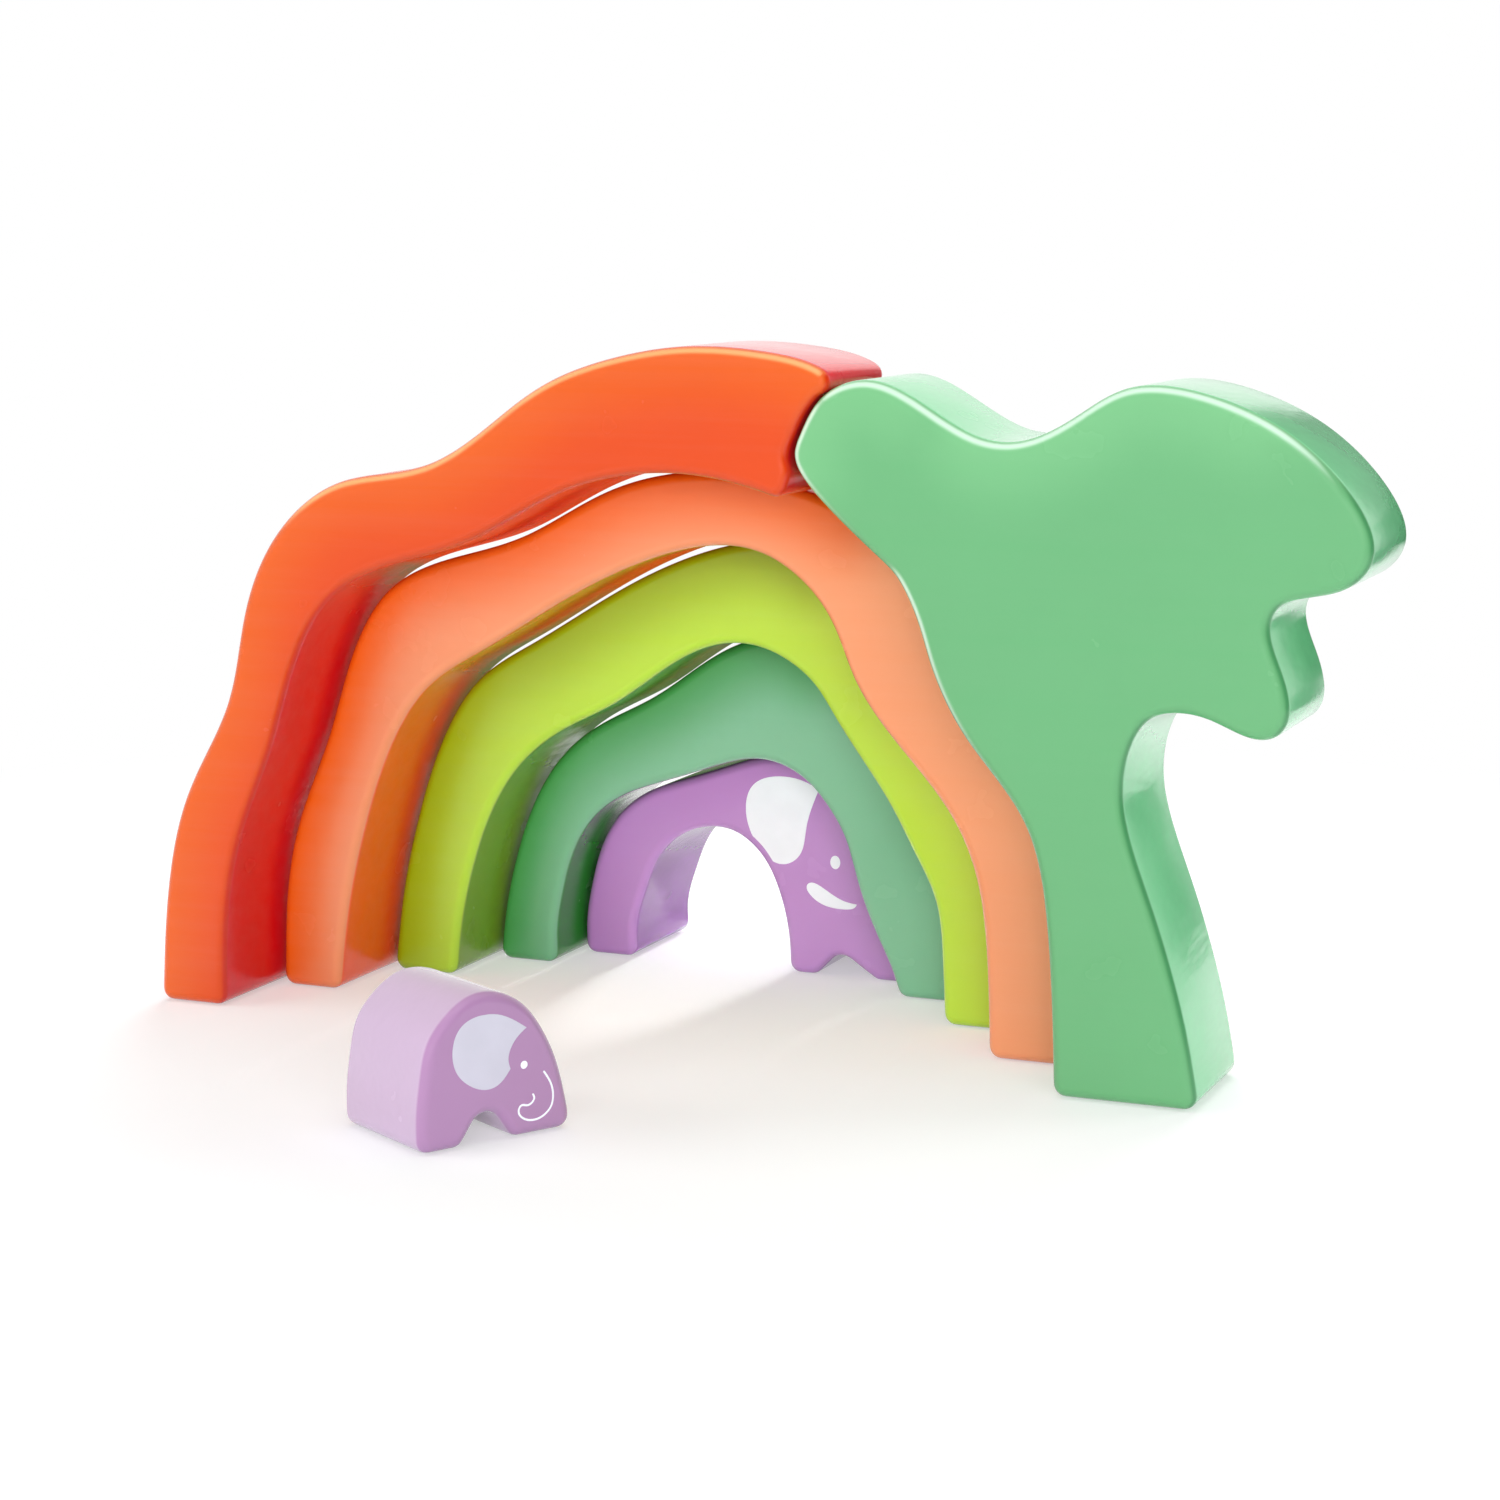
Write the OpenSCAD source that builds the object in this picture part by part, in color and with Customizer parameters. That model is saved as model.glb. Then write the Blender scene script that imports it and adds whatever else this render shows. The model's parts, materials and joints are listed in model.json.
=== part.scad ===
// Stacking elephant: a nest of painted wooden blocks. A tree and four wavy
// arches stand behind one another around a mother elephant, and a baby
// elephant walks towards the tunnel they make. All sizes in mm, +Z up.
// The origin is the middle of the tree's foot on the floor, +X runs from the
// red foot to the tree and -Y is the front, the side with the printed faces.

/* [Boards] */
// Depth of the tree, the arches and the mother from front to back
board_d = 40; // [24:1:60]
// Depth of the baby from front to back
baby_d = 34; // [24:1:50]
// Free space left all along between two neighbouring blocks
gap = 1.6; // [0.8:0.1:3]
// Clearance at which the end of the red arch sits on the left bush of the tree
seat_gap = 0.4; // [0.3:0.1:0.8]
// Radius of the round-over along the front and back edges
edge_r = 2.5; // [1:0.1:3]
// Radius of the corners at the feet and at the end of the red arch
corner_r = 3.2; // [2.6:0.1:4.5]
// Thickness of the printed paint
print_t = 0.2; // [0.1:0.05:0.4]

/* [Tree] */
// Width of the trunk at the floor
trunk_w = 36; // [30:1:48]
// Height of the leaf crown
tree_h = 171; // [160:1:190]
// Reach of the leaf crown to the right of the trunk's middle line
leaf_reach = 55; // [46:1:70]
// Height of the underside of the low branch
branch_h = 90; // [80:1:98]
// Reach of the low branch to the right of the trunk's middle line
branch_reach = 37; // [31:1:44]
// Height of the hollow between the two bushes of the crown
hollow_h = 157; // [150:1:164]

/* [Gate under the red arch and the tree] */
// Width of the gate at the floor
gate_w = 230; // [215:1:260]
// Height of the gate
gate_h = 146; // [136:1:156]

/* [Red arch] */
// Width of the red leg at the floor
red_leg = 20; // [14:1:28]
// Thickness of the red arch at its crown
red_crown = 32; // [26:1:40]

/* [Orange arch] */
// Width of the left leg at the floor
orange_left = 17.5; // [13:0.5:22]
// Width of the right leg at the floor
orange_right = 24; // [16:0.5:28]
// Thickness at the crown
orange_crown = 19.5; // [15:0.5:24]
// Distance of the front face behind the front of the tree, standing fanned out
orange_back = 28; // [0:1:44]

/* [Lime arch] */
// Width of the left leg at the floor
lime_left = 19.5; // [15:0.5:24]
// Width of the right leg at the floor
lime_right = 20; // [15:0.5:24]
// Thickness at the crown
lime_crown = 27; // [21:0.5:32]
// Distance of the front face behind the front of the tree, standing fanned out
lime_back = 56; // [0:1:88]

/* [Green arch] */
// Width of the left leg at the floor
green_left = 18; // [14:0.5:22]
// Width of the right leg at the floor
green_right = 19.5; // [15:0.5:24]
// Thickness at the crown
green_crown = 33; // [26:0.5:38]
// Distance of the front face behind the front of the tree, standing fanned out
green_back = 80; // [0:1:132]

/* [Mother elephant] */
// Width of the hind leg at the floor
mother_hind = 16; // [12:0.5:20]
// Width of the front leg and the trunk together at the floor
mother_front = 37; // [33:0.5:40]
// Thickness at the back
mother_crown = 21.5; // [17:0.5:24]
// Depth of the hollow of the trunk beside the green arch
trunk_hollow = 2; // [0:0.1:3]
// Height of the notch between front leg and trunk
notch_h = 6; // [4:0.5:9]
// Distance of the front face behind the front of the tree, standing fanned out
mother_back = 96; // [0:1:176]
// Width of the printed ear
mother_ear_w = 21.5; // [16:0.5:23]
// Height of the printed ear
mother_ear_h = 24.5; // [18:0.5:25]
// Height of the printed eye
mother_eye_h = 3.8; // [2:0.1:5]
// Length of the printed tusk
mother_tusk_l = 15; // [10:0.5:16]

/* [Baby elephant] */
// Length from rump to forehead at the floor
baby_l = 42; // [36:0.5:44]
// Height of the back
baby_h = 35; // [30:0.5:37]
// Height of the notch under the belly
belly_h = 7; // [4:0.5:9]
// Width of the notch under the belly
belly_w = 14.5; // [12:0.5:18]
// Width of the printed ear
baby_ear_w = 20; // [15:0.5:21]
// Height of the printed ear
baby_ear_h = 17; // [13:0.5:18]
// Diameter of the printed eye
baby_eye_d = 2.3; // [1.5:0.1:3.5]
// Width of the printed trunk line
baby_line_w = 0.9; // [0.6:0.1:1.4]
// Position of the rump corner of the printed face to the left of the tree's middle line
baby_left = 134; // [110:1:160]
// Distance of the rump corner in front of the front of the tree
baby_ahead = 104; // [95:1:140]
// Turn of the baby away from the line of the arches
baby_turn = 60; // [45:1:75]

/* [Hidden] */
// Pieces of line between two drawn points, pieces of a corner and of a round-over
line_steps = 4;
corner_steps = 4;
round_steps = 3;
$fn = 32;
front = -board_d / 2;
round_r = min(edge_r, corner_r - 0.1);
// Feet and heights of the lines on which neighbouring blocks part
gate_r = -trunk_w / 2 - gap / 2;
gate_l = gate_r - gate_w;
lime_l = gate_l + orange_left + gap;
lime_r = gate_r - orange_right - gap;
lime_h = gate_h - orange_crown - gap;
green_l = lime_l + lime_left + gap;
green_r = lime_r - lime_right - gap;
green_h = lime_h - lime_crown - gap;
mother_l = green_l + green_left + gap;
mother_r = green_r - green_right - gap;
mother_h = green_h - green_crown - gap;
den_l = mother_l + gap / 2 + mother_hind;
den_r = mother_r - gap / 2 - mother_front;
den_h = mother_h - gap / 2 - mother_crown;

// Shapes of the parting lines on a drawing grid, from the left foot over the
// crown to the right foot; each is stretched to its own feet and height
gate_shape = [[0, 0], [1, 25], [6, 48], [15, 70], [22, 91], [34, 111], [54, 121], [76, 128],
  [99, 140], [124, 146], [148, 144], [171, 136], [189, 123], [197, 104], [207, 85], [221, 67],
  [227, 46], [229, 23], [230, 0]];
lime_shape = [[0, 0], [3, 23], [8, 44], [15, 64], [27, 83], [45, 95], [65, 107], [84, 117],
  [105, 124], [125, 123], [141, 110], [149, 93], [161, 77], [174, 62], [182, 45], [185, 24],
  [186, 0]];
green_shape = [[0, 0], [2, 16], [6, 32], [12, 47], [21, 60], [34, 70], [50, 78], [64, 87],
  [79, 95], [95, 96], [109, 89], [117, 79], [126, 67], [134, 56], [141, 44], [147, 32],
  [149, 17], [150, 0]];
mother_shape = [[0, 0], [0, 11], [2, 22], [5, 32], [11, 42], [20, 49], [30, 53], [42, 57],
  [54, 61], [65, 62], [75, 58], [82, 51], [87, 43], [90, 34], [93, 25], [97, 16], [101, 8],
  [104, 0]];
den_shape = [[0, 0], [0, 10], [3, 20], [7, 29], [14, 36], [23, 39], [32, 38], [40, 32], [45, 23],
  [48, 12], [49, 0]];
red_shape = [[0, 0], [2, 27], [9, 56], [22, 81], [28, 105], [38, 127], [58, 142], [84, 147.5],
  [108, 163], [128, 173], [152, 178], [173, 177.6], [187, 175],
  [195, 171]];
baby_shape = [[0, 0], [0, 9], [1, 17], [3, 25], [8, 31], [14, 34.5], [21, 34.5], [28, 31], [33, 25],
  [37, 17], [39.5, 8], [41, 0]];

// Points and lines
function last(v) = v[len(v) - 1];
function unit(v) = v / norm(v);
function left_of(v) = [-v[1], v[0]];
function flip(v) = [for (i = [len(v) - 1:-1:0]) v[i]];
function top(q) = max([for (p = q) p[1]]);
// Shape q stretched between the feet l and r and to the height h
function stretch(q, l, r, h) =
  [for (p = q) [l + (p[0] - q[0][0]) * (r - l) / (last(q)[0] - q[0][0]), p[1] * h / top(q)]];
// Control points of the evenly curved line that runs through the points q
function pull(q, p, n) = n == 0 ? p : pull(q, [for (i = [0:len(q) - 1])
  i == 0 || i == len(q) - 1 ? q[i] : 1.5 * q[i] - (p[i - 1] + p[i + 1]) / 4], n - 1);
function blend(a, b, c, d, t) = (a * pow(1 - t, 3) + b * (3 * t * t * t - 6 * t * t + 4)
  + c * (3 * t * t - 3 * t * t * t + 3 * t + 1) + d * t * t * t) / 6;
// Evenly curved line through the points q
function smooth(q) = let (p = pull(q, q, 14))
  let (e = concat([2 * p[0] - p[1]], p, [2 * last(p) - p[len(p) - 2]]))
  concat([for (i = [0:len(q) - 2]) for (k = [0:line_steps - 1])
    blend(e[i], e[i + 1], e[i + 2], e[i + 3], k / line_steps)], [last(q)]);
// Line at the distance d to the left of the line q, with both ends on the floor
function beside(q, d) = [for (i = [0:len(q) - 1])
  q[i] + d * left_of(unit(q[min(i + 1, len(q) - 1)] - q[max(i - 1, 0)]))];
function grounded(q) = [for (i = [0:len(q) - 1]) i == 0 || i == len(q) - 1 ? [q[i][0], 0] : q[i]];
// Outline made of runs that meet in corners; each corner is rounded
reach = 1.9;
function before(run, b) = let (far = [for (p = run) if (norm(p - b) > reach * corner_r) p])
  len(far) == 0 ? run[0] : last(far);
function after(run, b) = let (far = [for (p = run) if (norm(p - b) > reach * corner_r) p])
  len(far) == 0 ? last(run) : far[0];
function corner(a, b, c) = let (d = unit(b - a), e = unit(c - b))
  let (s = sign(d[0] * e[1] - d[1] * e[0]), w = acos(min(1, max(-1, d * e))))
  let (m = b - d * corner_r * tan(w / 2) + s * corner_r * left_of(d))
  [for (k = [0:corner_steps]) let (u = w * k / corner_steps)
    m + corner_r * (sin(u) * d - s * cos(u) * left_of(d))];
function outline(runs) = [for (i = [0:len(runs) - 1])
  let (run = runs[i], next = runs[(i + 1) % len(runs)], b = last(run))
  let (body = [for (p = run) if (min(norm(p - run[0]), norm(p - b)) > reach * corner_r) p])
  each concat(body, corner(before(run, b), b, after(next, b)))];

// Lines on which the blocks part
gate_line = smooth(stretch(gate_shape, gate_l, gate_r, gate_h));
lime_line = smooth(stretch(lime_shape, lime_l, lime_r, lime_h));
green_line = smooth(stretch(green_shape, green_l, green_r, green_h));
mother_line = smooth(stretch(mother_shape, mother_l, mother_r, mother_h));
den_line = smooth(stretch(den_shape, den_l, den_r, den_h));
function outside(q) = grounded(beside(q, gap / 2));
function inside(q) = grounded(beside(q, -gap / 2));
function arch_outline(outer, inner) =
  outline([outer, [last(outer), last(inner)], flip(inner), [inner[0], outer[0]]]);

// Tree: the trunk's left side follows the gate, the left bush sits on its shoulder
shoulder_point = 11;
shoulder = stretch(gate_shape, gate_l, gate_r, gate_h)[shoulder_point];
foot = trunk_w / 2;
trunk_side = [[foot, 0], [foot - 4, branch_h * 0.23], [foot - 12, branch_h * 0.52],
  [foot - 20, branch_h * 0.8]];
branch = [[foot - 17, branch_h], [9, branch_h + 5], [18, branch_h + 4],
  [branch_reach - 10, branch_h + 0.5], [branch_reach - 3, branch_h + 1],
  [branch_reach, branch_h + 7], [branch_reach - 2, branch_h + 16]];
leaves = [[branch_reach - 5, tree_h - 56], [branch_reach - 2, tree_h - 49],
  [leaf_reach - 10, tree_h - 46.5], [leaf_reach - 2, tree_h - 42], [leaf_reach, tree_h - 33],
  [leaf_reach - 8, tree_h - 20], [leaf_reach - 23, tree_h - 8], [13, tree_h - 0.8], [-3, tree_h - 0.5]];
hollow = [[-15, hollow_h + 7], [-27, hollow_h + 1], [-40, hollow_h + 1.5]];
bush = [for (d = [[24, 30], [11, 35], [-1, 31], [-7, 21.5], [-6, 11]]) shoulder + d];
trunk_left = [for (i = [shoulder_point * line_steps + 2:2:len(gate_line) - 1]) outside(gate_line)[i]];
tree_line = smooth(concat(trunk_side, branch, leaves, hollow, bush, trunk_left));
tree_outline = outline([flip(tree_line), [tree_line[0], last(tree_line)]]);

// Red arch: its end is shaped like the left bush of the tree and settles on it
bush_side = beside(tree_line, -gap);
end_run = [for (i = [0:len(bush_side) - 1]) let (p = bush_side[i] - shoulder) if (p[0] < 6.5 && p[1] > 9) i];
end_slope = (bush_side[end_run[0]] - tree_line[end_run[0]])[1] / gap;
red_drop = (gap - seat_gap) / end_slope;
red_end = [for (i = end_run) bush_side[i] - [0, red_drop]];
red_under = [for (p = outside(gate_line)) if (p[0] < last(red_end)[0] - 1) p];
red_l = gate_l - gap / 2 - red_leg;
red_r = red_l + last(red_shape)[0] * gate_w / last(gate_shape)[0];
red_over = concat(stretch(red_shape, red_l, red_r, gate_h + red_crown), [red_end[0]]);
red_outline = outline([smooth(red_over), concat(red_end, [last(red_under)]), flip(red_under),
  [red_under[0], red_over[0]]]);

// Mother: the trunk leaves a slim hollow beside the green arch, its tip meets the floor
mother_tip = mother_r - gap / 2;
mother_back_line = [for (p = inside(mother_line)) p[0] > den_r + 10 && p[1] > 3 && p[1] < 27
  ? p - [trunk_hollow * pow(sin(180 * (p[1] - 3) / 24), 2), 0] : p];
mother_notch = smooth([for (p = [[0.3, 0], [0.45, 0.6], [0.58, 1], [0.71, 0.6], [0.79, 0]])
  [mother_tip - p[0] * mother_front, p[1] * notch_h]]);
mother_outline = outline([mother_back_line, [last(mother_back_line), mother_notch[0]], mother_notch,
  [last(mother_notch), last(den_line)], flip(den_line), [den_line[0], mother_back_line[0]]]);

// Baby: a dome with a notch under the belly
belly_x = 0.44 * baby_l;
baby_line = smooth(stretch(baby_shape, 0, baby_l, baby_h));
belly_line = smooth([for (p = [[0.5, 0], [0.36, 0.55], [0, 1], [-0.36, 0.55], [-0.5, 0]])
  [belly_x + p[0] * belly_w, p[1] * belly_h]]);
baby_outline = outline([baby_line, [last(baby_line), belly_line[0]], belly_line,
  [last(belly_line), baby_line[0]]]);

// Places of the printed shapes on the faces of the mother and the baby
mother_ear_at = [mother_r - 29, mother_h - 9];
mother_eye_at = [mother_r - 24, 32.6];
mother_tusk_at = [mother_r - 17.5, 20.8];
baby_ear_at = [9, 13];
baby_eye_at = [28.2, 17];
// Printed shapes, each drawn from its place at its natural size and scaled to the size set above
function scaled(q, at, w, h) = let (x = [for (p = q) p[0]], y = [for (p = q) p[1]])
  [for (p = q) at + [p[0] * w / (max(x) - min(x)), p[1] * h / (max(y) - min(y))]];
mother_ear = smooth(scaled([[0, 0], [-6, 2.5], [-14, 2.7], [-20.5, -1], [-21.5, -10], [-16.5, -19],
  [-10, -21.5], [-5, -17.5], [-3.4, -9.5], [0, 0]], mother_ear_at, mother_ear_w, mother_ear_h));
mother_tusk_h = 0.45 * mother_tusk_l;
mother_tusk = smooth(scaled([[0, 0.4], [-4, 1.1], [-8, 3], [-11.5, 5], [-14, 5.4], [-15, 3.8], [-13, 1.2],
  [-9, -0.8], [-4, -1.3], [-1, -0.8], [0, 0.4]], mother_tusk_at, mother_tusk_l, mother_tusk_h));
ear_rim = [[20, 12.5], [12, 16.7], [3.5, 16], [0, 10.5], [1.5, 4], [7.5, 0], [12.5, 0.6], [15.5, 3.6],
  [15, 6.5], [16.8, 10], [20, 12.5]];
ear_lobe = 7;
baby_rim = scaled(ear_rim, baby_ear_at, baby_ear_w, baby_ear_h);
baby_ear = concat(smooth([for (i = [0:ear_lobe]) baby_rim[i]]),
  smooth([for (i = [ear_lobe:len(baby_rim) - 1]) baby_rim[i]]));
baby_trunk = smooth([[33.7, 14.5], [35.3, 12], [36.1, 9.3], [35.8, 6.5], [34.2, 4.6], [31.8, 3.6], [29, 3.8],
  [27.1, 5], [26.6, 6.4], [27.4, 7.5], [28.8, 7.3], [30.1, 7.6], [30.9, 8.6], [30.6, 9.6]]);

// Line q drawn w wide with round ends
function round_end(p, d, w) = [for (u = [30:30:150]) p + w / 2 * (cos(u) * left_of(d) + sin(u) * d)];
function stroke(q, w) = concat(beside(q, w / 2), round_end(last(q), unit(last(q) - q[len(q) - 2]), w),
  flip(beside(q, -w / 2)), round_end(q[0], unit(q[0] - q[1]), w));
// Board with the outline q, rounded along its front and back edges
function inset(q, d) = [for (i = [0:len(q) - 1])
  let (a = unit(q[i] - q[(i + len(q) - 1) % len(q)]), b = unit(q[(i + 1) % len(q)] - q[i]))
  q[i] - d * left_of(unit(a + b))];
// Flat faces are cut into triangles one ear at a time
function side(a, b, c) = (b[0] - a[0]) * (c[1] - a[1]) - (b[1] - a[1]) * (c[0] - a[0]);
function covers(a, b, c, p) = side(a, b, p) <= 0 && side(b, c, p) <= 0 && side(c, a, p) <= 0;
function is_ear(q, v, i) = let (n = len(v), a = q[v[(i + n - 1) % n]], b = q[v[i]], c = q[v[(i + 1) % n]])
  side(a, b, c) < -0.000001
  && len([for (k = [2:n - 2]) if (covers(a, b, c, q[v[(i + k) % n]])) k]) == 0;
function find_ear(q, v, i) = i > 3 * len(v) || is_ear(q, v, i % len(v)) ? i % len(v) : find_ear(q, v, i + 1);
function cut_ears(q, v, i, done) = len(v) == 3 ? concat(done, [v]) : let (n = len(v), e = find_ear(q, v, i))
  cut_ears(q, [for (k = [0:n - 1]) if (k != e) v[k]], e + 1,
    concat(done, [[v[(e + n - 1) % n], v[e], v[(e + 1) % n]]]));
module board(q, d) {
  n = len(q);
  steps = [for (k = [0:round_steps]) let (w = 90 * k / round_steps) round_r * [1 - sin(w), 1 - cos(w)]];
  levels = concat(steps, [for (s = flip(steps)) [s[0], d - s[1]]]);
  points = [for (s = levels) each [for (p = inset(q, s[0])) [p[0], s[1], p[1]]]];
  sides = [for (k = [0:len(levels) - 2]) for (i = [0:n - 1]) let (j = (i + 1) % n)
    each [[k * n + i, (k + 1) * n + i, (k + 1) * n + j], [k * n + i, (k + 1) * n + j, k * n + j]]];
  face = cut_ears(inset(q, round_r), [for (i = [0:n - 1]) i], 0, []);
  rear = [for (t = face) [for (i = flip(t)) (len(levels) - 1) * n + i]];
  polyhedron(points, concat(face, rear, sides));
}
// Paint on the flat of the front face of a board with the outline q
module paint(q) {
  rotate([90, 0, 0])
    linear_extrude(print_t)
      intersection() {
        polygon(inset(q, round_r + 0.1));
        children();
      }
}
module at_mother() translate([0, front + mother_back, 0]) children();
module at_baby() translate([-baby_left, front - baby_ahead, 0]) rotate([0, 0, baby_turn]) children();

module tree() color([0.50, 0.78, 0.57]) translate([0, front, 0]) board(tree_outline, board_d);
module red_arch() color([0.95, 0.37, 0.16]) translate([0, front, 0]) board(red_outline, board_d);
module orange_arch() color([0.93, 0.50, 0.24]) translate([0, front + orange_back, 0])
  board(arch_outline(inside(gate_line), outside(lime_line)), board_d);
module lime_arch() color([0.68, 0.78, 0.21]) translate([0, front + lime_back, 0])
  board(arch_outline(inside(lime_line), outside(green_line)), board_d);
module green_arch() color([0.44, 0.68, 0.50]) translate([0, front + green_back, 0])
  board(arch_outline(inside(green_line), outside(mother_line)), board_d);
module mother_elephant() color([0.70, 0.52, 0.71]) at_mother() board(mother_outline, board_d);
module mother_ear_print() color([0.96, 0.96, 0.98]) at_mother() paint(mother_outline) polygon(mother_ear);
module mother_eye_print() color([0.96, 0.96, 0.98]) at_mother() paint(mother_outline)
  translate(mother_eye_at) scale([0.78, 1]) circle(d = mother_eye_h);
module mother_tusk_print() color([0.96, 0.96, 0.98]) at_mother() paint(mother_outline) polygon(mother_tusk);
module baby_elephant() color([0.73, 0.58, 0.74]) at_baby() board(baby_outline, baby_d);
module baby_ear_print() color([0.87, 0.87, 0.92]) at_baby() paint(baby_outline) polygon(baby_ear);
module baby_eye_print() color([0.96, 0.96, 0.98]) at_baby() paint(baby_outline)
  translate(baby_eye_at) circle(d = baby_eye_d);
module baby_trunk_print() color([0.96, 0.96, 0.98]) at_baby() paint(baby_outline)
  polygon(stroke(baby_trunk, baby_line_w));

tree();
red_arch();
orange_arch();
lime_arch();
green_arch();
mother_elephant();
mother_ear_print();
mother_eye_print();
mother_tusk_print();
baby_elephant();
baby_ear_print();
baby_eye_print();
baby_trunk_print();
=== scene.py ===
"""Stacking elephant: painted wooden blocks dressed on their solids, on a white studio floor."""

import json
import math

import bpy
import numpy as np
from mathutils import Matrix, Vector
from mathutils.geometry import delaunay_2d_cdt


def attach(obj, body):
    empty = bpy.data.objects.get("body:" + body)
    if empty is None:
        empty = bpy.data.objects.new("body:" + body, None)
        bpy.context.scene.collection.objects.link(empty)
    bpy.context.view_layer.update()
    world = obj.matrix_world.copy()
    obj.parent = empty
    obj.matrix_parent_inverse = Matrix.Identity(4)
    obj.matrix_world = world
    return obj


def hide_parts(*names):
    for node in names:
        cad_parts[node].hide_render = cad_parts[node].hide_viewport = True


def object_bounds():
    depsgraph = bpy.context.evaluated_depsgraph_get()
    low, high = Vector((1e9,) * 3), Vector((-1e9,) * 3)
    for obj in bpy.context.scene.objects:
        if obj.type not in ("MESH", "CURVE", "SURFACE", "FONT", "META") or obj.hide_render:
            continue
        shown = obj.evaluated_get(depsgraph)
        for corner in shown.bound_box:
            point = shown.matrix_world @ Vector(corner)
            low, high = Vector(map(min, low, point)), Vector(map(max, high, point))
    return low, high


bl_info = {
    "name": "Stacking Elephant",
    "version": (1, 0, 0),
    "blender": (4, 5, 0),
    "location": "3D View > Sidebar > Blocks",
    "description": "Paints the blocks of a stacking elephant and sets up their studio",
    "category": "Object",
}

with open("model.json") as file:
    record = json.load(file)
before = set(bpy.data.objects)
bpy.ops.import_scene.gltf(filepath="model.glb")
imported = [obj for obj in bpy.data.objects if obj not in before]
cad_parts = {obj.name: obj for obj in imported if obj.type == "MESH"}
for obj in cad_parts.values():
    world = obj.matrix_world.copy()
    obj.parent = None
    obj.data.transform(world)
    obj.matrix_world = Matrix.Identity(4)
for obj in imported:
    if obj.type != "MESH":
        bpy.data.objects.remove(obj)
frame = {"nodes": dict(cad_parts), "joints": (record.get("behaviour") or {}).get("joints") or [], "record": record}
CAD_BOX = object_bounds()

# Outlines: what counts as one level, one point or a corner, and how finely a line is drawn
SAME_LEVEL = 1e-5
SAME_POINT = 1e-7
SHARP_TURN = math.radians(50)
LINE_PARTS = 12
FEWEST_POINTS = 12

# Faces: the flat strip beside a rounded edge in radii, the strips across the edge of a print, the
# distance of inner points from the rim in steps, and the mode that makes triangles inside the rim
FLAT_STRIP = 0.16
FILM_STEPS = 2
CLEAR_OF_RIM = 0.6
TRIANGLES_INSIDE = 1

# Upper left edge of a board: how far to the left an outline point looks, how exactly, and a
# level below all points
LOOK_LEFT = 0.0015
LOOK_SLACK = 0.001
BELOW_ALL = -1.0

# Painted highlights on rounded edges: the ways they face on each block
LEFTWARDS, UPWARDS = (-1.0, 0.0), (0.0, 1.0)
HIGHLIGHT_WAYS = {"tree": (LEFTWARDS, UPWARDS), "red": (UPWARDS,)}

# Start and width of the rise of the painted highlight and the painted shade on edges, by their facing and their
# height
HIGHLIGHT_FACING = (0.6, 0.25)
HIGHLIGHT_HEIGHT = (0.35, 0.3)
EDGE_SHADE_FACING = (0.35, 0.3)
EDGE_SHADE_BELOW = (-0.75, 0.2)

# Middle and width of the painted highlight and painted shade lines across an edge, in radians from the flat
HIGHLIGHT_LINE = (0.65, 0.35)
EDGE_SHADE_LINE = (1.1, 0.4)

# Painted wood: where the wall's colour, which paints the walls' light and shade, starts, where the painted
# highlight and painted shade of the edges start, and how much these edges cover
WALL_START = 0.8
EDGE_START, EDGE_COVER = 0.05, 0.8

# Painted wood: waves per metre of its patterns, and how far these change tone, gloss and relief
GRAIN_WAVES, RIPPLE_WAVES = (9, 260, 260), (90, 30, 90)
CLOUD_WAVES, GLOSS_WAVES = 22, 60
NOISE_RANGE = (0.3, 0.7)
CLOUD_TONES, GRAIN_TONES = (0.985, 1.015), (0.992, 1.008)
ROUGHNESS = (0.20, 0.28)
GRAIN_STRENGTH, GRAIN_HEIGHT = 0.02, 0.0004
RIPPLE_START, RIPPLE_STRENGTH, RIPPLE_HEIGHT = 0.4, 0.3, 0.001

# Printed paint: waves per metre of its clouds and marks, its duller tone and the marks' relief
PRINT_CLOUDS, PRINT_MARKS = 120, 2200
PRINT_DULL = 0.96
MARK_STRENGTH, MARK_HEIGHT = 0.08, 0.0001

# Floor: its level, its colours for bounced light and near the blocks, and where it turns white
FLOOR_LEVEL = -0.0003
FLOOR_BOUNCE, FLOOR_NEAR = (0.82, 0.86, 0.92, 1), (0.63, 0.63, 0.635, 1)
FLOOR_GLOW = 0.43
FLOOR_FADE = (0.26, 0.5)

# Soft lights: name, place, width and depth, and the setting of the power
LIGHTS = (
    ("over_light", (-0.05, -0.05, 1.4), (1.2, 1.2), "over_power"),
    ("front_light", (0.2, -1.6, 0.36), (1.0, 0.6), "front_power"),
    ("left_light", (-1.2, -0.7, 0.5), (0.9, 0.8), "left_power"),
    ("right_light", (0.9, -1.25, 0.4), (0.9, 0.7), "right_power"),
    ("back_light", (1.0, 0.9, 0.6), (0.9, 0.9), "back_power"),
    ("rear_light", (-0.3, 0.95, 0.95), (0.8, 0.6), "rear_power"),
)

# Beam through the mother's den: its place, its aim and how soft its rim and its shadows are
BEAM_PLACE, BEAM_AIM = (-0.14, 0.75, 0.22), (-0.148, 0.12, 0.01)
BEAM_BLEND, BEAM_RADIUS = 0.5, 0.05

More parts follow.
